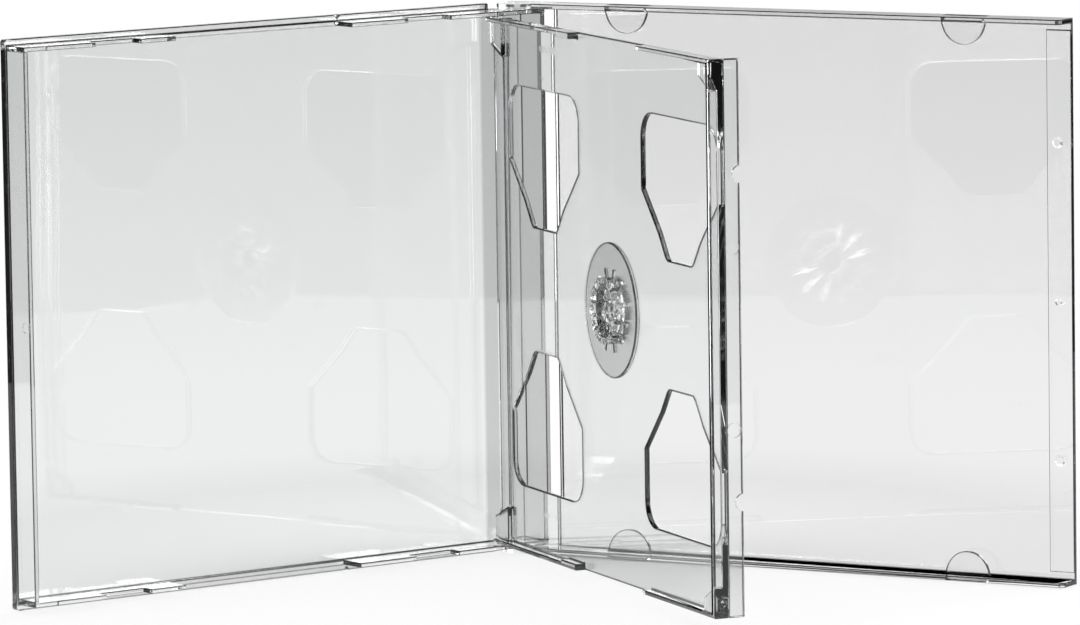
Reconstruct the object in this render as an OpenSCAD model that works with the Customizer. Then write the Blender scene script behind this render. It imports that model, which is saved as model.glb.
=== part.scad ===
/* [Case] */
// Length of a closed cover, from the spine to the opening edge
case_length = 142; // [141:0.5:150]
// Height of the covers along the hinge
case_height = 125; // [123.5:0.5:132]
// Thickness of the closed case
case_thickness = 10; // [9.8:0.1:11]
// Thickness of the flat panels
panel_thickness = 1.1; // [0.9:0.05:1.2]
// Thickness of the back cover's walls
wall_thickness = 1.05; // [0.9:0.05:1.2]
// Thickness of the front cover's rails and arms
rail_thickness = 1.15; // [0.9:0.05:1.2]
// Radius of the corners at the opening edges
corner_radius = 1; // [0.6:0.1:1.6]

/* [Pose] */
// Angle that the front cover is swung open, 0 when shut
cover_open = 113; // [80:0.5:180]
// Angle that the tray is swung open, 0 when it lies in the back cover
tray_open = 74.5; // [0:0.5:79]

/* [Disc seats] */
// Diameter of the discs that the tray holds
disc_diameter = 120; // [110:1:120]
// Diameter of the hub that grips a disc's centre hole
hub_diameter = 14.8; // [14:0.1:15]
// Diameter of the flat pad round the hub
pad_diameter = 29.6; // [24:0.2:34]
// Number of spring fingers in the hub
finger_count = 12; // [8:1:12]
// Width of the slots between the fingers
finger_slot = 0.85; // [0.6:0.05:0.9]
// Width of the four finger cut-outs in the tray
cutout_width = 40.6; // [34:0.2:41]

/* [Booklet tabs] */
// Width of the half-moon tabs inside the front cover's rails
tab_width = 10.8; // [8:0.2:12]
// Gap for the booklet between the tabs and the front panel
booklet_gap = 2; // [1.6:0.1:2.2]

/* [Hidden] */

// Frame of the closed case: X runs from the cover hinge to the opening edge,
// Y from the back cover to the front cover with 0 at mid thickness, Z up the hinge.
half_t = case_thickness / 2;
spine_x = -half_t;
edge_x = case_length - half_t;
mid_z = case_height / 2;

// Heights of the back cover's walls and lip
inner_back_y = panel_thickness - half_t;
lip_thickness = 1.8;
lip_y = lip_thickness - half_t;
inner_front_y = half_t - panel_thickness;
strip_rise = 0.3;
side_rim_y = inner_front_y - 0.15;
end_rim_y = inner_front_y - strip_rise - 0.15;
grip_rim_y = inner_back_y + 1.2;

// Places of the back cover's walls
wall_z = rail_thickness + 0.2;
wall_in_z = wall_z + wall_thickness;
end_inset = 0.45;
end_wall_out_x = edge_x - end_inset;
end_wall_in_x = end_wall_out_x - 1.15;
spine_in_x = spine_x + 1.1;
lip_start_x = half_t + 0.8;

// The tray turns on its own pins, inboard of the cover's
tray_axis_x = half_t + 0.8;
tray_z = wall_in_z + 0.3;
tray_length = end_wall_in_x - 0.4 - tray_axis_x;
tray_axis_y = -0.7;
web_thickness = 1.2;
web_y = tray_axis_y;
web_back_y = web_y - web_thickness / 2;
web_front_y = web_y + web_thickness / 2;
tray_back_y = inner_back_y + 0.3;
tray_front_y = end_rim_y;
flange_thickness = 1.1;
disc_x = tray_length - flange_thickness - disc_diameter / 2 - 0.2;
rim_gap = 34.5;
rim_gap_far = 42;
rim_thickness = 1;
tray_edge_x = 1.3;
hinge_band_x = min(7.2, disc_x - disc_diameter / 2 - 0.3);

// Pins and their holes
cover_pin_d = 3;
tray_pin_d = 2.4;
pin_clearance = 0.1;

// Grip zones: the back cover's side walls are low along the middle of each side
grip_centre_x = tray_axis_x + disc_x - 0.9;
grip_width = 47.5;

// Booklet tabs, two on each rail
tab_places = [0.193 * case_length, 0.788 * case_length];
tab_thickness = 0.9;
tab_front_y = inner_front_y - booklet_gap;
tab_reach = 5.2;
tab_notch_y = tab_front_y - tab_thickness - 0.3;
rail_rim_y = -2;
panel_start_x = half_t + 2.2;
strip_width = 6;
bump_spacing = 35.1;
mark_spacing = 19.5;
bump_height = 0.3;

// Points of an arc, from one angle to another
function arc(centre, radius, from, to, steps = 8) = [
    for (i = [0 : steps])
        let (a = from + (to - from) * i / steps)
            [centre.x + radius * cos(a), centre.y + radius * sin(a)]
];

// Outline of a plate whose two corners at the far end are rounded
function plate_outline(x0, x1, z0, z1, radius) = concat(
    [[x0, z0]],
    arc([x1 - radius, z0 + radius], radius, -90, 0),
    arc([x1 - radius, z1 - radius], radius, 0, 90),
    [[x0, z1]]
);

// Draws an outline given as X and Z, from one Y to a higher one
module upright(y0, y1) {
    translate([0, y1, 0])
        rotate([90, 0, 0])
            linear_extrude(y1 - y0)
                children();
}

// A box given by its two far corners
module block(low, high) {
    translate(low)
        cube(high - low);
}

// The same thing at the lower side and, mirrored, at the upper side
module both_sides() {
    children();
    translate([0, 0, case_height])
        mirror([0, 0, 1])
            children();
}

// Turns the closed case's frame to the part's frame, where the covers open to the front
module case_frame() {
    rotate([0, 0, 180])
        children();
}

// Places the tray, whose X runs from its own hinge axis
module tray_frame() {
    translate([tray_axis_x, tray_axis_y, 0])
        rotate([0, 0, tray_open])
            translate([0, -tray_axis_y, 0])
                children();
}

// Back cover: panel, lip, walls and spine, moulded as one

module back_panel() {
    // The panel is narrower beside the hinge, where the front cover's arms turn
    upright(-half_t, inner_back_y)
        polygon(plate_outline(lip_start_x, edge_x, 0, case_height, corner_radius));
    block([spine_x, -half_t, wall_z], [lip_start_x + 1, inner_back_y, case_height - wall_z]);
}

module back_lip() {
    upright(-half_t, lip_y)
        difference() {
            polygon(plate_outline(lip_start_x, edge_x, 0, case_height, corner_radius));
            translate([lip_start_x - 1, wall_z + 0.4])
                square([end_wall_in_x - lip_start_x + 1.4, case_height - 2 * wall_z - 0.8]);
            // Small notches at the ends of the grip zones
            for (z = [0, case_height])
                translate([grip_centre_x - grip_width / 2 - 1, z])
                    circle(r = 0.8, $fn = 4);
        }
}

module side_wall() {
    grip_low_x = grip_centre_x - grip_width / 2;
    grip_high_x = grip_centre_x + grip_width / 2;
    difference() {
        union() {
            block([spine_x, -half_t + 0.1, wall_z], [grip_low_x, side_rim_y, wall_in_z]);
            block([grip_low_x - 1, -half_t + 0.1, wall_z], [grip_high_x + 1, grip_rim_y, wall_in_z]);
            block([grip_high_x, -half_t + 0.1, wall_z],
                  [edge_x - strip_width - 0.3, side_rim_y, wall_in_z]);
            block([edge_x - strip_width - 1, -half_t + 0.1, wall_z],
                  [end_wall_out_x, end_rim_y, wall_in_z]);
        }
        for (x = tab_places)
            block([x - tab_width / 2 - 0.5, tab_notch_y, 0],
                  [x + tab_width / 2 + 0.5, half_t, wall_in_z + 1]);
        // Holes for the front cover's pins and the tray's pins
        translate([0, 0, wall_z - 1])
            cylinder(d = cover_pin_d + pin_clearance, h = wall_thickness + 2, $fn = 48);
        translate([tray_axis_x, tray_axis_y, wall_z - 1])
            cylinder(d = tray_pin_d + pin_clearance, h = wall_thickness + 2, $fn = 48);
    }
}

module end_wall() {
    difference() {
        block([end_wall_in_x, -half_t + 0.1, wall_z],
              [end_wall_out_x, end_rim_y, case_height - wall_z]);
        // Round mark on the outer face
        translate([end_wall_out_x - 0.2, end_rim_y - 1.6, mid_z])
            rotate([0, 90, 0])
                cylinder(d = 2.2, h = 1, $fn = 32);
    }
}

module spine_wall() {
    block([spine_x, -half_t, wall_z], [spine_in_x, side_rim_y - 0.15, case_height - wall_z]);
}

module back_cover() {
    color([0.86, 0.88, 0.88, 0.35])
        case_frame()
            union() {
                back_panel();
                back_lip();
                both_sides()
                    side_wall();
                end_wall();
                spine_wall();
            }
}

// Front cover: panel, rails, arms, pins and tabs, moulded as one

module front_panel() {
    // The outer edge at the opening side is bevelled
    bevel = 0.3;
    linear_extrude(case_height)
        polygon([
            [panel_start_x, inner_front_y],
            [edge_x, inner_front_y],
            [edge_x, half_t - bevel],
            [edge_x - bevel, half_t],
            [panel_start_x + 0.5, half_t],
            [panel_start_x, half_t - 0.5]
        ]);
    block([edge_x - strip_width, inner_front_y - strip_rise, tray_z],
          [edge_x, inner_front_y + 0.1, case_height - tray_z]);
}

module strip_bump(diameter, height) {
    rotate([90, 0, 0])
        cylinder(d1 = diameter, d2 = diameter * 0.6, h = height, $fn = 32);
}

module rail_profile() {
    // The arm is round about the hinge pin, and the rail's end is cut back at its rim
    circle(r = half_t, $fn = 72);
    polygon([
        [0, half_t],
        [0, rail_rim_y],
        [edge_x - corner_radius, rail_rim_y],
        [edge_x, rail_rim_y + corner_radius],
        [edge_x, half_t - 0.3],
        [edge_x - 0.3, half_t]
    ]);
}

module rail_tab() {
    // Half-moon tab that stands in from the rail
    half_moon = [
        for (a = [0 : 9 : 180])
            [tab_width / 2 * cos(a), rail_thickness - 0.2 + (tab_reach + 0.2) * sin(a)]
    ];
    upright(tab_front_y - tab_thickness, tab_front_y)
        polygon(half_moon);
}

module rail() {
    difference() {
        linear_extrude(rail_thickness)
            rail_profile();
        for (x = tab_places)
            block([x - tab_width / 2 + 0.3, tab_front_y, -1],
                  [x + tab_width / 2 - 0.3, inner_front_y - 0.2, rail_thickness + 1]);
    }
    for (x = tab_places)
        translate([x, 0, 0])
            rail_tab();
    translate([0, 0, rail_thickness - 0.1])
        cylinder(d = cover_pin_d, h = wall_thickness + 0.3, $fn = 48);
}

module front_cover() {
    color([0.88, 0.90, 0.90, 0.35])
        case_frame()
            rotate([0, 0, cover_open])
                union() {
                    front_panel();
                    both_sides()
                        rail();
                    for (k = [-1 : 1])
                        translate([
                            edge_x - strip_width / 2 - 0.4,
                            inner_front_y - strip_rise + 0.01,
                            mid_z + k * bump_spacing
                        ])
                            strip_bump(k == 0 ? 1.8 : 2.6, k == 0 ? 0.11 : bump_height);
                }
}

// Swing tray: web with finger cut-outs and hubs, rims, end flange and pins, moulded as one

// Outline of a finger cut-out, wide at its outer end and narrow towards mid height
function cutout_outline(half_width) = concat(
    [[half_width, 28.4], [half_width - 9.1, 19.6], [7.4, 14.8], [6.4, 14.1]],
    [[-6.4, 14.1], [-7.4, 14.8], [9.1 - half_width, 19.6], [-half_width, 28.4]],
    arc([5.5 - half_width, 39.6], 5.5, 180, 90),
    arc([half_width - 5.5, 39.6], 5.5, 90, 0)
);

module cutouts() {
    for (sx = [-1, 1], sz = [0, 1])
        translate([disc_x + sx * 38.6, mid_z])
            mirror([0, sz])
                polygon(cutout_outline(cutout_width / 2));
}

module web() {
    upright(web_back_y, web_front_y)
        difference() {
            translate([tray_edge_x, tray_z])
                square([tray_length - tray_edge_x, case_height - 2 * tray_z]);
            cutouts();
        }
}

module rim() {
    // Rims stand on the web's back face, and stop where a disc reaches the edge
    block([tray_edge_x, tray_back_y, tray_z],
          [disc_x - rim_gap / 2, web_y, tray_z + rim_thickness]);
    block([disc_x + rim_gap_far / 2, tray_back_y, tray_z],
          [tray_length - 0.2, web_y, tray_z + rim_thickness]);
    // Feet at the ends of the hinge side's rims
    block([disc_x - rim_gap / 2 - 8.6, tray_back_y, tray_z],
          [disc_x - rim_gap / 2, web_y, tray_z + 1.5]);
}

module flange_corner() {
    // Chamfered block between the rim and the end flange
    upright(tray_back_y + 0.1, web_y)
        polygon([
            [tray_length - 6.3, tray_z + 0.2],
            [tray_length - 0.3, tray_z + 0.2],
            [tray_length - 0.3, tray_z + 7],
            [tray_length - 6.3, tray_z + 3.9]
        ]);
}

module hinge_corner() {
    // Chamfered lug that carries the tray's pin
    lug = 1.5;
    // Its end slopes, longest at the side away from the pin
    upright(web_y - lug, web_y + lug)
        polygon([
            [0, tray_z],
            [hinge_band_x, tray_z],
            [hinge_band_x, tray_z + 8.7],
            [0, tray_z + 6]
        ]);
    translate([0, web_y, tray_z])
        cylinder(r = lug, h = 6, $fn = 48);
    translate([0, web_y, tray_z - wall_thickness - 0.25])
        cylinder(d = tray_pin_d, h = wall_thickness + 0.35, $fn = 48);
}

module hinge_band() {
    block([tray_edge_x, web_back_y - 0.5, tray_z],
          [hinge_band_x, web_front_y + 0.3, case_height - tray_z]);
}

module end_flange() {
    notch_y = tray_front_y + 0.1;
    difference() {
        block([tray_length - flange_thickness, tray_back_y, tray_z],
              [tray_length, tray_front_y, case_height - tray_z]);
        for (k = [-1, 1])
            translate([tray_length - flange_thickness - 1, notch_y, mid_z + k * bump_spacing])
                rotate([0, 90, 0])
                    cylinder(r = 1.9, h = flange_thickness + 2, $fn = 48);
        // Round marks between the notches
        for (k = [-1, 1])
            translate([tray_length - 0.35, tray_front_y - 2, mid_z + k * mark_spacing])
                rotate([0, 90, 0])
                    cylinder(d = 3.2, h = 1, $fn = 48);
    }
}

module hub_sides(radius, rise_back, rise_front) {
    translate([disc_x, web_front_y + rise_front, mid_z])
        rotate([90, 0, 0])
            cylinder(r = radius, h = web_thickness + rise_back + rise_front, $fn = 96);
}

module hub() {
    pad_rise = 0.35;
    hub_rise = 2;
    difference() {
        union() {
            hub_sides(pad_diameter / 2, pad_rise, pad_rise);
            hub_sides(hub_diameter / 2, hub_rise, hub_rise);
        }
        // Hollow middle, and a floor ring that the fingers spring from
        hub_sides(2.6, hub_rise + 1, hub_rise + 1);
        hub_well(hub_rise);
        mirror_across_web()
            hub_well(hub_rise);
        for (i = [0 : finger_count - 1])
            translate([disc_x, web_front_y + hub_rise + 1, mid_z])
                rotate([90, 360 / finger_count * (i + 0.5), 0])
                    translate([3.6, -finger_slot / 2, 0])
                        cube([5.8, finger_slot, web_thickness + 2 * hub_rise + 2]);
    }
}

module hub_well(hub_rise) {
    translate([disc_x, web_front_y + hub_rise + 1, mid_z])
        rotate([90, 0, 0])
            cylinder(r1 = hub_diameter / 2 - 0.6, r2 = 4.6, h = hub_rise + 0.8, $fn = 64);
}

module mirror_across_web() {
    translate([0, 2 * web_y, 0])
        mirror([0, 1, 0])
            children();
}

module swing_tray() {
    color([0.84, 0.86, 0.86, 0.35])
        case_frame()
            tray_frame()
                union() {
                    difference() {
                        web();
                        hub_sides(9.6, 1, 1);
                    }
                    hub();
                    hinge_band();
                    end_flange();
                    both_sides() {
                        rim();
                        flange_corner();
                        hinge_corner();
                    }
                }
}

back_cover();
front_cover();
swing_tray();
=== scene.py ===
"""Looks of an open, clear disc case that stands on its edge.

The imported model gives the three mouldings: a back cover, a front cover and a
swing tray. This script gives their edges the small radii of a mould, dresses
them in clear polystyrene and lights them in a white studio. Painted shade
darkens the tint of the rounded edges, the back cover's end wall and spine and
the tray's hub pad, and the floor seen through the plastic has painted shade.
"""

import logging
import math
from dataclasses import dataclass, field
from enum import Enum
from typing import Any

import bmesh
import bpy
from mathutils import Matrix, Vector

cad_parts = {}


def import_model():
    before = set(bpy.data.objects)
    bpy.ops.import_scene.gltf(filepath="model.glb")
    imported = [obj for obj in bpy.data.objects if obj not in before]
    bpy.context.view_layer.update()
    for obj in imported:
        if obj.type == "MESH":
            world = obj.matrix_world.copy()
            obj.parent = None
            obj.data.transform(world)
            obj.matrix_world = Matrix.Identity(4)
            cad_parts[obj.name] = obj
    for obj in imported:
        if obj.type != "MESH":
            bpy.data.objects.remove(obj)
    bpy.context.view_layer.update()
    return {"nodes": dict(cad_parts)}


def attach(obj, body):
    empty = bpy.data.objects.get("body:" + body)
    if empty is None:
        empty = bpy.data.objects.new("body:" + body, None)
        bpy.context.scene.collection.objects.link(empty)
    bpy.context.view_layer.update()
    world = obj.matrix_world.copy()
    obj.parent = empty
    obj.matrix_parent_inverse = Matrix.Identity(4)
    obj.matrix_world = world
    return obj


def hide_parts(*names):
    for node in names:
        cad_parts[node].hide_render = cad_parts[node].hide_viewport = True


logging.basicConfig(level=logging.INFO, format="%(levelname)s %(message)s")
log = logging.getLogger("disc_case")

MM = 0.001
PHOTO_WIDTH = 1080
PHOTO_HEIGHT = 625
BOUNCES = {"max_bounces": 24, "transmission_bounces": 20,
           "glossy_bounces": 12, "diffuse_bounces": 3}


class Body(Enum):
    """The case's mouldings, by the names of their nodes and bodies."""

    BACK_COVER = "back_cover"
    FRONT_COVER = "front_cover"
    SWING_TRAY = "swing_tray"


@dataclass(frozen=True)
class Value:
    """A number socket whose operators add Math nodes."""

    graph: "Graph"
    socket: Any

    def _math(self, operation: str, first: Any, second: Any) -> "Value":
        """Adds one Math node.

        Args:
            operation: the Math node's operation.
            first: its first number or socket.
            second: its second number or socket.

        Returns:
            The node's result.
        """
        node = self.graph.node("ShaderNodeMath", {"operation": operation}, {0: first, 1: second})
        return Value(self.graph, node.outputs[0])

    def __add__(self, other: Any) -> "Value":
        """Sum.

        Args:
            other: what is added.

        Returns:
            The sum.
        """
        return self._math("ADD", self, other)

    def __sub__(self, other: Any) -> "Value":
        """Difference.

        Args:
            other: what is taken off.

        Returns:
            The difference.
        """
        return self._math("SUBTRACT", self, other)

    def __rsub__(self, other: Any) -> "Value":
        """Difference from a number on the left.

        Args:
            other: the number.

        Returns:
            The difference.
        """
        return self._math("SUBTRACT", other, self)

    def __mul__(self, other: Any) -> "Value":
        """Product.

        Args:
            other: the factor.

        Returns:
            The product.
        """
        return self._math("MULTIPLY", self, other)

    def __truediv__(self, other: Any) -> "Value":
        """Quotient.

        Args:
            other: the divisor.

        Returns:
            The quotient.
        """
        return self._math("DIVIDE", self, other)

    def __gt__(self, other: Any) -> "Value":
        """Comparison.

        Args:
            other: what this is compared with.

        Returns:
            One where this is greater, else zero.
        """
        return self._math("GREATER_THAN", self, other)

    def at_most(self, other: Any) -> "Value":
        """Lesser of the two.

        Args:
            other: the upper bound.

        Returns:
            The lesser value.
        """
        return self._math("MINIMUM", self, other)

    def at_least(self, other: Any) -> "Value":
        """Greater of the two.

        Args:
            other: the lower bound.

        Returns:
            The greater value.
        """
        return self._math("MAXIMUM", self, other)

    def ramp(self, start: float, slope: float) -> "Value":
        """Straight ramp that is kept between 0 and 1.

        Args:
            start: where the ramp is 0.
            slope: its rise for each unit, negative for a ramp that rises downwards.

        Returns:
            The ramp's value.
        """
        return ((self - start) * slope).at_least(0.0).at_most(1.0)


class Graph:
    """A node tree that is being filled."""

    def __init__(self, tree: Any) -> None:
        """Empties the tree.

        Args:
            tree: a shader or world node tree.
        """
        self.tree = tree
        self.tree.nodes.clear()

    def node(self, kind: str, settings: dict[str, Any] | None = None,
             inputs: dict[Any, Any] | None = None) -> Any:
        """Adds a node.

        Args:
            kind: the node's type.
            settings: its properties, which are set first.
            inputs: values or links of its sockets, by name or number.

        Returns:
            The new node.
        """
        made = self.tree.nodes.new(kind)
        for name, setting in (settings or {}).items():
            setattr(made, name, setting)
        for name, value in (inputs or {}).items():
            self.feed(made.inputs[name], value)
        return made

    def feed(self, socket: Any, value: Any) -> None:
        """Sets or links one socket.

        Args:
            socket: the input socket.
            value: a number, a tuple, a Value or an output socket.
        """
        if isinstance(value, Value):
            self.tree.links.new(value.socket, socket)
        elif isinstance(value, bpy.types.NodeSocket):
            self.tree.links.new(value, socket)
        else:
            socket.default_value = value

    def value(self, kind: str, settings: dict[str, Any] | None = None,
              inputs: dict[Any, Any] | None = None, output: Any = 0) -> Value:
        """Adds a node and gives one of its outputs as a Value.

        Args:
            kind: the node's type.
            settings: its properties, which are set first.
            inputs: values or links of its sockets, by name or number.
            output: the name or number of the output.

        Returns:
            That output.
        """
        return Value(self, self.node(kind, settings, inputs).outputs[output])

    def spread(self, source: Value, low: float, high: float) -> Value:
        """Maps a value that runs from 0 to 1 to a range.

        Args:
            source: the value.
            low: the result at 0.
            high: the result at 1.

        Returns:
            The mapped value.
        """
        return source * (high - low) + low


@dataclass(frozen=True)
class DiscHub:
    """Place and sizes of the tray's disc hub, in the frame of the open case."""

    tray_angle: float = math.radians(74.5)
    pin: tuple[float, float] = (-5.8 * MM, 0.7 * MM)
    reach: float = 67.9 * MM
    height: float = 62.5 * MM
    pad_radius: float = 14.8 * MM
    finger_reach: float = 10.5 * MM
    fingers: int = 12

    def along(self) -> Vector:
        """Direction from the tray's pins to its free end.

        Returns:
            A unit vector.
        """
        return Vector((-math.cos(self.tray_angle), -math.sin(self.tray_angle), 0.0))

    def outwards(self) -> Vector:
        """Direction that the tray's front face looks to.

        Returns:
            A unit vector.
        """
        return Vector((math.sin(self.tray_angle), -math.cos(self.tray_angle), 0.0))

    def centre(self) -> Vector:
        """Centre of the hub, at the web's mid thickness.

        Returns:
            The point, in metres.
        """
        return Vector((self.pin[0], self.pin[1], self.height)) + self.along() * self.reach

    def placing(self) -> Matrix:
        """Transform from the hub's own axes to the open case.

        Returns:
            A matrix whose Z runs outwards from the tray's front.
        """
        axes = Matrix((self.along(), Vector((0.0, 0.0, 1.0)), self.outwards()))
        return Matrix.Translation(self.centre()) @ axes.transposed().to_4x4()


@dataclass(frozen=True)
class ClearPolystyrene:
    """Water-clear moulded polystyrene, with its flow ripples, haze and fine scratches, and
    painted shade on a hub's pad and along walls, where these are given.
    """

    name: str
    tint: tuple[float, float, float]
    haze: float = 0.012
    haze_spread: float = 0.05
    ripple: float = 0.05
    ripple_depth: float = 4.0 * MM
    cloud_scale: float = 22.0
    cloud_detail: float = 3.0
    cloud_roughness: float = 0.55
    cloud_bump: float = 0.06
    flow_scale: float = 9.0
    flow_detail: float = 1.0
    flow_distortion: float = 0.4
    scratch: float = 0.10
    scratch_runs: tuple[tuple[float, float], ...] = ((0.7, 260.0), (-0.5, 330.0))
    scratch_twist: tuple[float, float] = (0.4, 1.7)
    scratch_along: float = 9.0
    scratch_from: float = 0.70
    scratch_slope: float = 14.0
    smear_from: float = 0.5
    smear_slope: float = 3.2
    smear_share: float = 0.5
    smear_shade: float = 0.985
    refractive_index: float = 1.59
    depth_colour: tuple[float, float, float] = (0.50, 0.52, 0.53)
    depth_density: float = 60.0
    pad: DiscHub | None = None
    # Share of the tint left on the pad: painted shade.
    pad_painted_shade: float = 0.72
    pad_roughness: float = 0.12
    pad_margin: float = 0.1 * MM
    pad_slope: float = 9000.0
    # Places along the length where the tint is darkened as painted shade.
    walls: tuple[tuple[float, float], ...] = ()
    wall_painted_shade: float = 0.68

    def build(self) -> bpy.types.Material:
        """Makes the material, or gives it when it is there.

        Returns:
            The finished material.
        """
        made = bpy.data.materials.get(self.name)
        if made is not None:
            return made
        material = bpy.data.materials.new(self.name)
        material.use_nodes = True
        graph = Graph(material.node_tree)
        place = graph.node("ShaderNodeTexCoord").outputs["Object"]
        cloud = graph.value("ShaderNodeTexNoise", None,
                            {"Vector": place, "Scale": self.cloud_scale,
                             "Detail": self.cloud_detail, "Roughness": self.cloud_roughness})
        flow = graph.value("ShaderNodeTexNoise", None,
                           {"Vector": place, "Scale": self.flow_scale,
                            "Detail": self.flow_detail, "Distortion": self.flow_distortion})
        smear = cloud.ramp(self.smear_from, self.smear_slope)
        roughness = graph.spread(smear, self.haze, self.haze_spread)
        roughness = roughness + self.scratches(graph, place) * self.scratch
        colour = self.shaded(graph, (*self.tint, 1.0), self.smear_shade,
                             smear * self.smear_share)
        # Painted shade: the pad round the hub is darkened, and it is also rougher.
        if self.pad is not None:
            satin_and_shade = self.satin_and_shaded_pad(graph, place, self.pad)
            roughness = roughness + satin_and_shade * self.pad_roughness
            colour = self.shaded(graph, colour, self.pad_painted_shade, satin_and_shade)
        # Painted shade: the tint is darkened between each pair of places, at the walls.
        for low, high in self.walls:
            wall = self.between(graph, place, low, high)
            colour = self.shaded(graph, colour, self.wall_painted_shade, wall)
        bump = graph.node("ShaderNodeBump", None,
                          {"Strength": self.ripple, "Distance": self.ripple_depth,
                           "Height": flow + cloud * self.cloud_bump})
        surface = graph.node(
            "ShaderNodeBsdfPrincipled", None,
            {"Base Color": colour, "Roughness": roughness, "Transmission Weight": 1.0,
             "IOR": self.refractive_index, "Normal": bump.outputs["Normal"]})
        depth = graph.node("ShaderNodeVolumeAbsorption", None,
                           {"Color": (*self.depth_colour, 1.0), "Density": self.depth_density})
        out = graph.node("ShaderNodeOutputMaterial")
        graph.feed(out.inputs["Surface"], surface.outputs["BSDF"])
        graph.feed(out.inputs["Volume"], depth.outputs[0])
        return material

    def shaded(self, graph: Graph, colour: Any, shade: float, factor: Value) -> Any:
        """Darkens a colour where a factor is one.

        Args:
            graph: the material's graph.
            colour: the colour so far, as a tuple or a socket.
            shade: the share of the tint that is left.
            factor: where to darken.

        Returns:
            The colour's socket.
        """
        darker = tuple(channel * shade for channel in self.tint)
        mix = graph.node("ShaderNodeMix", {"data_type": "RGBA"},
                         {"Factor": factor, "A": colour, "B": (*darker, 1.0)})
        return mix.outputs["Result"]

    def between(self, graph: Graph, place: Any, low: float, high: float) -> Value:
        """Tells where the moulding lies between two places along its length.

        Args:
            graph: the material's graph.
            place: the object coordinates.
            low: the lower place.
            high: the higher place.

        Returns:
            One between them, else zero.
        """
        split = graph.node("ShaderNodeSeparateXYZ", None, {"Vector": place})
        along = Value(graph, split.outputs["X"])
        return (along > low) * (1.0 - (along > high))

    def satin_and_shaded_pad(self, graph: Graph, place: Any, hub: DiscHub) -> Value:
        """Tells where the pad round the hub is, which is rougher and darkened with painted shade.

        Args:
            graph: the material's graph.
            place: the object coordinates.
            hub: the hub.

        Returns:
            One on the pad, else zero.
        """
        offset = graph.node("ShaderNodeVectorMath", {"operation": "SUBTRACT"},
                            {0: place, 1: tuple(hub.centre())})
        far = graph.value("ShaderNodeVectorMath", {"operation": "LENGTH"},
                          {0: offset.outputs[0]}, "Value")
        return far.ramp(hub.pad_radius - self.pad_margin, -self.pad_slope)

    def scratches(self, graph: Graph, place: Any) -> Value:
        """Sparse hairline scratches in two directions.

        Args:
            graph: the material's graph.
            place: the object coordinates.

        Returns:
            One on a scratch, else zero.
        """
        lines = None
        lean, spin = self.scratch_twist
        for turn, stretch in self.scratch_runs:
            turned = graph.node("ShaderNodeMapping", None,
                                {"Vector": place, "Rotation": (turn, turn * lean, turn * spin),
                                 "Scale": (stretch, self.scratch_along, stretch)})
            noise = graph.value("ShaderNodeTexNoise", None,
                                {"Vector": turned.outputs[0], "Scale": 1.0, "Detail": 1.0})
            line = noise.ramp(self.scratch_from, self.scratch_slope)
            lines = line if lines is None else lines.at_least(line)
        return lines


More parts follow.
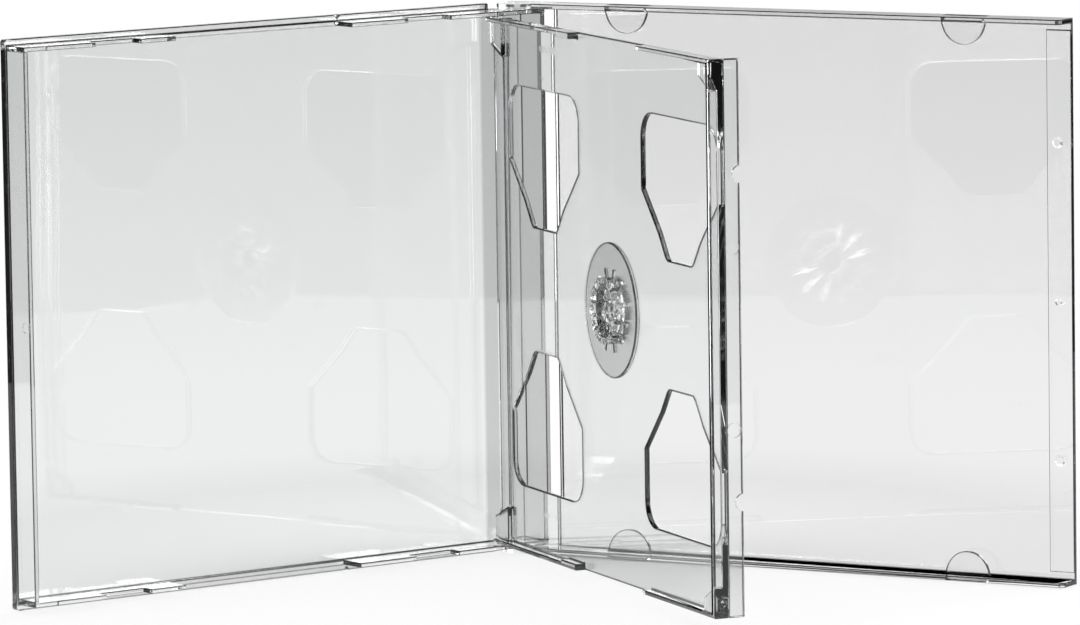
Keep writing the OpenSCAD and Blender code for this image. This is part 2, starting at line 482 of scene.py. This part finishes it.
@dataclass
class FingerPips:
    """Small pips at the tips of the hub's spring fingers, which hold the disc down."""

    hub: DiscHub
    finish: ClearPolystyrene
    pip_width: float = 1.5 * MM
    pip_height: float = 0.75 * MM
    ring_radius: float = 6.75 * MM
    side_offset: float = 2.35 * MM
    segments: int = 16
    rings: int = 10

    def tree(self) -> bpy.types.NodeTree:
        """Builds the tree that sets the pips round the hub on both sides.

        Returns:
            The geometry node tree.
        """
        tree = bpy.data.node_groups.new("finger_pips", "GeometryNodeTree")
        face = tree.interface
        face.new_socket("Geometry", in_out="INPUT", socket_type="NodeSocketGeometry")
        for name in ("Ring radius", "Pip width", "Pip height", "Side offset"):
            face.new_socket(name, in_out="INPUT", socket_type="NodeSocketFloat")
        face.new_socket("Count", in_out="INPUT", socket_type="NodeSocketInt")
        face.new_socket("Material", in_out="INPUT", socket_type="NodeSocketMaterial")
        face.new_socket("Geometry", in_out="OUTPUT", socket_type="NodeSocketGeometry")
        graph = Graph(tree)
        given = graph.node("NodeGroupInput").outputs
        ring = graph.node("GeometryNodeMeshCircle", {"fill_type": "NONE"},
                          {"Vertices": given["Count"], "Radius": given["Ring radius"]})
        both = graph.node("GeometryNodeJoinGeometry")
        for side in (1.0, -1.0):
            offset = Value(graph, given["Side offset"]) * side
            lift = graph.node("ShaderNodeCombineXYZ", None, {"Z": offset})
            moved = graph.node("GeometryNodeTransform", None,
                               {"Geometry": ring.outputs["Mesh"], "Translation": lift.outputs[0]})
            graph.feed(both.inputs[0], moved.outputs[0])
        ball = graph.node("GeometryNodeMeshUVSphere", None,
                          {"Segments": self.segments, "Rings": self.rings, "Radius": 0.5})
        size = graph.node("ShaderNodeCombineXYZ", None,
                          {"X": given["Pip width"], "Y": given["Pip width"],
                           "Z": given["Pip height"]})
        pips = graph.node("GeometryNodeInstanceOnPoints", None,
                          {"Points": both.outputs[0], "Instance": ball.outputs["Mesh"],
                           "Scale": size.outputs[0]})
        smooth = graph.node("GeometryNodeSetShadeSmooth", None, {"Geometry": pips.outputs[0]})
        real = graph.node("GeometryNodeRealizeInstances", None, {"Geometry": smooth.outputs[0]})
        dressed = graph.node("GeometryNodeSetMaterial", None,
                             {"Geometry": real.outputs[0], "Material": given["Material"]})
        out = graph.node("NodeGroupOutput")
        graph.feed(out.inputs[0], dressed.outputs[0])
        return tree

    def build(self) -> bpy.types.Object:
        """Makes the pips as one mesh on the swing tray.

        Returns:
            The finished object.
        """
        piece = bpy.data.objects.new("finger_pips", bpy.data.meshes.new("finger_pips"))
        bpy.context.scene.collection.objects.link(piece)
        modifier = piece.modifiers.new("finger_pips", "NODES")
        modifier.node_group = self.tree()
        given = {"Ring radius": self.ring_radius, "Pip width": self.pip_width,
                 "Pip height": self.pip_height, "Side offset": self.side_offset,
                 "Count": self.hub.fingers, "Material": self.finish.build()}
        for item in modifier.node_group.interface.items_tree:
            if item.in_out == "INPUT" and item.name in given:
                modifier[item.identifier] = given[item.name]
        depsgraph = bpy.context.evaluated_depsgraph_get()
        mesh = bpy.data.meshes.new_from_object(piece.evaluated_get(depsgraph))
        piece.modifiers.remove(modifier)
        mesh.transform(self.hub.placing())
        self.face_outwards(mesh)
        piece.data = mesh
        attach(piece, Body.SWING_TRAY.value)
        log.info("%s: %d faces", piece.name, len(mesh.polygons))
        return piece

    def face_outwards(self, mesh: bpy.types.Mesh) -> None:
        """Turns the faces outwards after the pips were put in place.

        Args:
            mesh: the pips' mesh.
        """
        work = bmesh.new()
        work.from_mesh(mesh)
        bmesh.ops.recalc_face_normals(work, faces=work.faces)
        work.to_mesh(mesh)
        work.free()


@dataclass
class MouldedPart:
    """One moulding, taken from its solid and given a mould's small edge radii."""

    body: Body
    finish: ClearPolystyrene
    # The rounded edges' tint is darkened: painted shade for their dark outlines.
    edge_painted_shade_tint: tuple[float, float, float] = (0.25, 0.255, 0.26)
    edge_haze: float = 0.03
    edge_haze_spread: float = 0.1
    edge_radius: float = 0.22 * MM
    edge_segments: int = 2
    shortest_edge: float = 0.8 * MM
    end_length: float = 0.9 * MM
    corner_angle: float = math.radians(32)
    smooth_angle: float = math.radians(16)
    flat_area: float = 6.0 * MM * MM
    smooth_corners: int = 4
    merge_distance: float = 0.002 * MM
    same_plane: float = math.radians(0.5)
    full_radius_width: float = 2.3
    split_from: float = 6.0

    def build(self, nodes: dict[str, bpy.types.Object]) -> bpy.types.Object:
        """Makes the dressed moulding.

        Args:
            nodes: the frame's objects by their names.

        Returns:
            The finished object.
        """
        source = nodes[self.body.value]
        mesh = source.data.copy()
        piece = bpy.data.objects.new(self.body.value + "_moulded", mesh)
        bpy.context.scene.collection.objects.link(piece)
        piece.matrix_world = source.matrix_world.copy()
        mesh.materials.clear()
        # The second slot is the rounded edges' finish, with painted shade in its tint.
        for finish in (self.finish, self.edge_finish_with_painted_shade()):
            mesh.materials.append(finish.build())
        self.join_faces(mesh)
        self.round_edges(piece)
        self.smooth_curves(piece.data)
        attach(piece, self.body.value)
        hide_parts(self.body.value)
        log.info("%s: %d faces", piece.name, len(piece.data.polygons))
        return piece

    def edge_finish_with_painted_shade(self) -> ClearPolystyrene:
        """Finish of the rounded edges: its tint is darkened as painted shade where light is bent
        away, and it is hazier.

        Returns:
            The finish.
        """
        return ClearPolystyrene(self.finish.name + "_edge", self.edge_painted_shade_tint, haze=self.edge_haze,
                                haze_spread=self.edge_haze_spread)

    def join_faces(self, mesh: bpy.types.Mesh) -> None:
        """Joins the loose triangles, clears the flat faces' inner edges and marks the sharp ones.

        Args:
            mesh: the copied mesh.
        """
        work = bmesh.new()
        work.from_mesh(mesh)
        bmesh.ops.remove_doubles(work, verts=work.verts, dist=self.merge_distance)
        bmesh.ops.dissolve_limit(work, angle_limit=self.same_plane, verts=work.verts,
                                 edges=work.edges, use_dissolve_boundaries=False)
        self.mark_edges(work)
        work.to_mesh(mesh)
        work.free()

    def mark_edges(self, work: bmesh.types.BMesh) -> None:
        """Marks the sharp edges, less where a face beside one is narrow.

        Args:
            work: the joined mesh.
        """
        weight = work.edges.layers.float.new("bevel_weight_edge")
        for edge in work.edges:
            if len(edge.link_faces) != 2 or edge.calc_length() < self.shortest_edge:
                continue
            if edge.calc_face_angle(0.0) < self.corner_angle or self.stays_sharp(edge):
                continue
            width = min(self.face_width(face) for face in edge.link_faces)
            edge[weight] = min(1.0, width / (self.full_radius_width * self.edge_radius))
        longest_whole = self.split_from * self.end_length
        long_edges = [edge for edge in work.edges
                      if edge[weight] > 0.0 and edge.calc_length() > longest_whole]
        for edge in long_edges:
            self.split_ends(edge, weight)

    def split_ends(self, edge: bmesh.types.BMEdge, weight: Any) -> None:
        """Cuts an edge near both ends, so that a narrow corner doesn't taper all its radius.

        Args:
            edge: the edge.
            weight: the layer of the edge weights.
        """
        share = edge[weight]
        rest = edge
        for end in list(edge.verts):
            part, corner = bmesh.utils.edge_split(rest, end, self.end_length / rest.calc_length())
            part[weight] = share
            rest = next(link for link in corner.link_edges if end not in link.verts)
            rest[weight] = share

    def face_width(self, face: bmesh.types.BMFace) -> float:
        """Rough width of a face.

        Args:
            face: the face.

        Returns:
            Its area over the length of its longest edge.
        """
        return face.calc_area() / max(edge.calc_length() for edge in face.edges)

    def stays_sharp(self, edge: bmesh.types.BMEdge) -> bool:
        """Tells whether an edge gets no radius.

        Args:
            edge: a sharp edge.

        Returns:
            True for an edge to leave alone.
        """
        return False

    def round_edges(self, piece: bpy.types.Object) -> None:
        """Gives the marked edges a small radius, applied to the mesh.

        Args:
            piece: the moulding's object.
        """
        bevel = piece.modifiers.new("edge_radius", "BEVEL")
        bevel.width = self.edge_radius
        bevel.segments = self.edge_segments
        bevel.limit_method = "WEIGHT"
        bevel.use_clamp_overlap = False
        # The rounded edges get the second material, which carries painted shade.
        bevel.material = 1
        bevel.harden_normals = False
        depsgraph = bpy.context.evaluated_depsgraph_get()
        result = bpy.data.meshes.new_from_object(piece.evaluated_get(depsgraph))
        piece.modifiers.remove(bevel)
        piece.data = result

    def smooth_curves(self, mesh: bpy.types.Mesh) -> None:
        """Shades the curved faces smooth and leaves the flat ones flat.

        Args:
            mesh: the rounded mesh.
        """
        mesh.shade_smooth()
        mesh.set_sharp_from_angle(angle=self.smooth_angle)
        for polygon in mesh.polygons:
            if len(polygon.vertices) > self.smooth_corners or polygon.area > self.flat_area:
                polygon.use_smooth = False


@dataclass
class BackCover(MouldedPart):
    """The back cover: a panel with an end wall, a spine and low walls along its sides."""

    body: Body = Body.BACK_COVER
    end_wall_at: tuple[float, float] = (-150.0 * MM, -138.5 * MM)
    spine_at: tuple[float, float] = (-7.5 * MM, 10.0 * MM)
    finish: ClearPolystyrene = field(init=False)

    def __post_init__(self) -> None:
        """Sets the finish, with painted shade darkening its tint at the end wall and at the
        spine.
        """
        self.finish = ClearPolystyrene("clear_back_cover", (0.985, 0.99, 0.99),
                                       walls=(self.end_wall_at, self.spine_at))


@dataclass
class FrontCover(MouldedPart):
    """The front cover: a panel with rails, pins and half-round booklet tabs."""

    body: Body = Body.FRONT_COVER
    finish: ClearPolystyrene = ClearPolystyrene("clear_front_cover", (0.99, 0.99, 0.99))


@dataclass
class SwingTray(MouldedPart):
    """The swing tray: a web with four finger cut-outs and a disc hub on both its sides."""

    body: Body = Body.SWING_TRAY
    hub: DiscHub = DiscHub()
    finish: ClearPolystyrene = field(init=False)
    # A lighter painted shade in the tint of the tray's rounded edges.
    edge_painted_shade_tint: tuple[float, float, float] = (0.6, 0.6, 0.61)
    edge_radius: float = 0.34 * MM
    edge_segments: int = 3

    def __post_init__(self) -> None:
        """Sets the finish, whose pad round the hub is rougher and darkened with painted shade."""
        self.finish = ClearPolystyrene("clear_swing_tray", (0.98, 0.985, 0.985), pad=self.hub)

    def build(self, nodes: dict[str, bpy.types.Object]) -> bpy.types.Object:
        """Makes the tray and the pips of its fingers.

        Args:
            nodes: the frame's objects by their names.

        Returns:
            The tray's object.
        """
        piece = super().build(nodes)
        FingerPips(self.hub, self.finish).build()
        return piece

    def stays_sharp(self, edge: bmesh.types.BMEdge) -> bool:
        """Tells whether an edge is one of the small ones round the disc hub.

        Args:
            edge: a sharp edge.

        Returns:
            True for an edge within the fingers' reach.
        """
        middle = (edge.verts[0].co + edge.verts[1].co) / 2
        return (middle - self.hub.centre()).length < self.hub.finger_reach


@dataclass(frozen=True)
class SoftBox:
    """A round softbox of the surroundings, by its direction from the case."""

    bearing: float
    rise: float
    half_angle: float
    level: float

    def axis(self) -> tuple[float, float, float]:
        """Direction to the softbox.

        Returns:
            A unit vector as a tuple.
        """
        turn, lift = math.radians(self.bearing), math.radians(self.rise)
        return (math.cos(turn) * math.cos(lift), math.sin(turn) * math.cos(lift), math.sin(lift))


@dataclass(frozen=True)
class Lamp:
    """A square soft lamp that faces the case, with its power in watts."""

    name: str
    place: tuple[float, float, float]
    size: float
    power: float
    aim: tuple[float, float, float] = (0.0, -0.05, 0.06)

    def build(self) -> None:
        """Makes the lamp."""
        data = bpy.data.lights.new(self.name, "AREA")
        data.shape = "SQUARE"
        data.size = self.size
        data.energy = self.power
        lamp = bpy.data.objects.new(self.name, data)
        bpy.context.scene.collection.objects.link(lamp)
        lamp.location = self.place
        towards = Vector(self.aim) - Vector(self.place)
        lamp.rotation_euler = towards.to_track_quat("-Z", "Y").to_euler()


@dataclass
class Studio:
    """White studio: a pale round table, soft light above and panels all round it."""

    table_radius: float = 0.5
    floor_colour: tuple[float, float, float] = (0.86, 0.86, 0.86)
    # Glow seen through the plastic: darker near the case as painted shadow, a little darker at
    # the rim as painted shade.
    near_painted_shadow_level: float = 0.74
    table_level: float = 0.9
    rim_painted_shade_level: float = 0.87
    surround_level: float = 0.09
    halo_level: float = 1.2
    top_level: float = 6.0
    bearings: tuple[tuple[float, float], ...] = (
        (0.0, 0.6), (12.0, 2.4), (24.0, 2.4), (30.0, 0.12), (45.0, 0.12), (48.3, 0.78),
        (57.2, 0.78), (60.5, 0.12), (80.0, 0.12), (91.0, 0.6), (101.0, 0.6), (108.0, 0.12),
        (134.0, 0.12), (150.0, 6.0), (163.0, 6.0), (168.5, 0.15), (178.0, 0.15), (181.5, 2.0),
        (184.0, 0.3), (192.0, 0.3), (202.0, 2.0), (216.0, 0.2), (242.0, 0.05), (260.0, 0.5),
        (278.0, 0.12), (290.0, 6.0), (297.0, 6.0), (302.5, 0.12), (312.0, 0.12), (318.0, 6.0),
        (338.0, 4.0), (349.0, 0.1),
    )
    boxes: tuple[SoftBox, ...] = (
        SoftBox(307.3, 10.0, 8.0, 7.0), SoftBox(173.3, 10.0, 8.0, 7.0),
        SoftBox(12.0, 28.0, 14.0, 7.0), SoftBox(154.0, 12.0, 8.0, 7.0),
    )
    lamps: tuple[Lamp, ...] = (
        Lamp("overhead", (-0.1, -0.2, 1.7), 2.2, 30.0),
        Lamp("key", (-1.5, -0.62, 0.75), 0.7, 3.5),
        Lamp("side", (1.35, -0.6, 0.6), 0.6, 3.5),
    )
    table_sides: int = 128
    table_drop: float = 0.3 * MM
    near_radius: float = 0.06
    near_slope: float = 8.0
    rim_radius: float = 0.28
    rim_slope: float = 5.0
    lit_radius: float = 0.03
    lit_slope: float = 10.0
    camera_white: float = 0.85
    above_height: float = 0.22
    above_slope: float = 9.0
    halo_height: float = 0.03
    halo_slope: float = 12.0
    lower_height: float = -0.085
    lower_slope: float = -30.0
    lower_gain: float = 1.12
    box_slope: float = 600.0

    def build(self) -> None:
        """Makes the floor, the lamps and the world."""
        self.floor()
        self.world()
        for lamp in self.lamps:
            lamp.build()
        log.info("studio built")

    def floor(self) -> None:
        """Makes the pale round floor."""
        turns = [index * math.tau / self.table_sides for index in range(self.table_sides)]
        corners = [(math.cos(turn) * self.table_radius, math.sin(turn) * self.table_radius, 0.0)
                   for turn in turns]
        mesh = bpy.data.meshes.new("floor")
        mesh.from_pydata(corners, [], [tuple(range(self.table_sides))])
        floor = bpy.data.objects.new("floor", mesh)
        bpy.context.scene.collection.objects.link(floor)
        floor.location = (0.0, 0.0, -self.table_drop)
        mesh.materials.append(self.floor_material())

    def floor_material(self) -> bpy.types.Material:
        """Makes the floor's material: matte near the case; seen through the clear plastic it
        glows, with a painted shadow round the case and painted shade towards the rim.

        Returns:
            The finished material.
        """
        material = bpy.data.materials.new("pale_floor")
        material.use_nodes = True
        graph = Graph(material.node_tree)
        path = graph.node("ShaderNodeLightPath")
        camera = Value(graph, path.outputs["Is Camera Ray"])
        through = (Value(graph, path.outputs["Is Transmission Ray"])
                   .at_least(Value(graph, path.outputs["Is Glossy Ray"])))
        place = graph.node("ShaderNodeTexCoord").outputs["Object"]
        far = graph.value("ShaderNodeVectorMath", {"operation": "LENGTH"}, {0: place}, "Value")
        # Painted shadow: the glow is darker near the case, and painted shade makes it a little
        # darker towards the rim.
        away = far.ramp(self.near_radius, self.near_slope)
        outer = far.ramp(self.rim_radius, self.rim_slope)
        level = graph.spread(away, self.near_painted_shadow_level, self.table_level) * (1.0 - outer)
        level = level + outer * self.rim_painted_shade_level
        beside = far.ramp(self.lit_radius, self.lit_slope)
        matte = graph.node("ShaderNodeBsdfDiffuse", None, {"Color": (*self.floor_colour, 1.0)})
        white = graph.node("ShaderNodeEmission", None,
                           {"Color": (1.0, 1.0, 1.0, 1.0), "Strength": level.at_least(camera)})
        mixed = graph.node("ShaderNodeMixShader", None,
                           {0: (camera * self.camera_white).at_least(through * beside),
                            1: matte.outputs[0], 2: white.outputs[0]})
        out = graph.node("ShaderNodeOutputMaterial")
        graph.feed(out.inputs["Surface"], mixed.outputs[0])
        return material

    def ring(self, graph: Graph, direction: Any) -> Value:
        """Brightness of the panels, gaps and softboxes round the table, by their bearing.

        Args:
            graph: the world's graph.
            direction: a direction from the case.

        Returns:
            The level at that bearing.
        """
        split = graph.node("ShaderNodeSeparateXYZ", None, {"Vector": direction})
        turn = graph.value("ShaderNodeMath", {"operation": "ARCTAN2"},
                           {0: split.outputs["Y"], 1: split.outputs["X"]})
        share = graph.value("ShaderNodeMath", {"operation": "FRACT"}, {0: turn / math.tau + 1.0})
        ramp = graph.node("ShaderNodeValToRGB", None, {"Fac": share})
        stops = ramp.color_ramp.elements
        while len(stops) > 1:
            stops.remove(stops[-1])
        for index, (bearing, level) in enumerate(self.bearings):
            stop = stops[0] if index == 0 else stops.new(bearing / 360.0)
            stop.position = bearing / 360.0
            grey = level / self.top_level
            stop.color = (grey, grey, grey, 1.0)
        ramp.color_ramp.interpolation = "EASE"
        return Value(graph, ramp.outputs["Color"]) * self.top_level

    def world(self) -> None:
        """Makes the surroundings: white for the camera, graded for the clear plastic."""
        world = bpy.data.worlds.new("studio")
        bpy.context.scene.world = world
        world.use_nodes = True
        graph = Graph(world.node_tree)
        direction = graph.node("ShaderNodeTexCoord").outputs["Generated"]
        split = graph.node("ShaderNodeSeparateXYZ", None, {"Vector": direction})
        height = Value(graph, split.outputs["Z"])
        path = graph.node("ShaderNodeLightPath")
        camera = Value(graph, path.outputs["Is Camera Ray"])
        above = height.ramp(self.above_height, self.above_slope)
        halo = height.ramp(self.halo_height, self.halo_slope) * self.halo_level
        below = height.ramp(self.lower_height, self.lower_slope)
        lower = graph.spread(below, 1.0, self.lower_gain)
        level = (self.ring(graph, direction) * lower).at_least(halo)
        level = level * (1.0 - above) + above * self.surround_level
        for box in self.boxes:
            facing = graph.value("ShaderNodeVectorMath", {"operation": "DOT_PRODUCT"},
                                 {0: direction, 1: box.axis()}, "Value")
            inside = facing.ramp(math.cos(math.radians(box.half_angle)), self.box_slope)
            level = level.at_least(inside * box.level)
        back = graph.node("ShaderNodeBackground", None,
                          {"Color": (1.0, 1.0, 1.0, 1.0), "Strength": level.at_least(camera)})
        out = graph.node("ShaderNodeOutputWorld")
        graph.feed(out.inputs["Surface"], back.outputs[0])


@dataclass
class PhotoCamera:
    """The photograph's camera, as fitted to points and edges in it."""

    focal_pixels: float = 8327.8
    centre_pixels: tuple[float, float] = (529.0, 300.0)
    place_mm: tuple[float, float, float] = (1.70, -1876.3, 275.1)
    pitch_deg: float = 6.62
    roll_deg: float = -0.836
    back_cover_deg: float = 37.3
    sensor: float = 36.0
    near_clip: float = 0.05
    far_clip: float = 50.0

    def build(self) -> None:
        """Makes the camera and the scene's active camera."""
        turn = Matrix.Rotation(-math.radians(self.back_cover_deg), 3, "Z")
        pitch = math.radians(self.pitch_deg)
        roll = math.radians(self.roll_deg)
        ahead = turn @ Vector((0.0, math.cos(pitch), -math.sin(pitch)))
        side = turn @ Vector((1.0, 0.0, 0.0))
        above = side.cross(ahead)
        right = side * math.cos(roll) + above * math.sin(roll)
        upward = above * math.cos(roll) - side * math.sin(roll)
        data = bpy.data.cameras.new("photo_camera")
        data.sensor_width = self.sensor
        data.lens = self.focal_pixels / PHOTO_WIDTH * self.sensor
        data.shift_x = (PHOTO_WIDTH / 2 - self.centre_pixels[0]) / PHOTO_WIDTH
        data.shift_y = (self.centre_pixels[1] - PHOTO_HEIGHT / 2) / PHOTO_WIDTH
        data.clip_start = self.near_clip
        data.clip_end = self.far_clip
        camera = bpy.data.objects.new("photo_camera", data)
        bpy.context.scene.collection.objects.link(camera)
        place = turn @ (Vector(self.place_mm) * MM)
        axes = Matrix((right, upward, -ahead)).transposed().to_4x4()
        camera.matrix_world = Matrix.Translation(place) @ axes
        bpy.context.scene.camera = camera


def set_render() -> None:
    """Sets the view transform and the bounces that clear plastic needs."""
    scene = bpy.context.scene
    scene.view_settings.view_transform = "Standard"
    for name, count in BOUNCES.items():
        setattr(scene.cycles, name, count)


def main() -> None:
    """Loads the frame, dresses the mouldings and builds the studio."""
    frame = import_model()
    set_render()
    for part in (BackCover(), FrontCover(), SwingTray()):
        part.build(frame["nodes"])
    Studio().build()
    PhotoCamera().build()


if __name__ == "__main__":
    main()
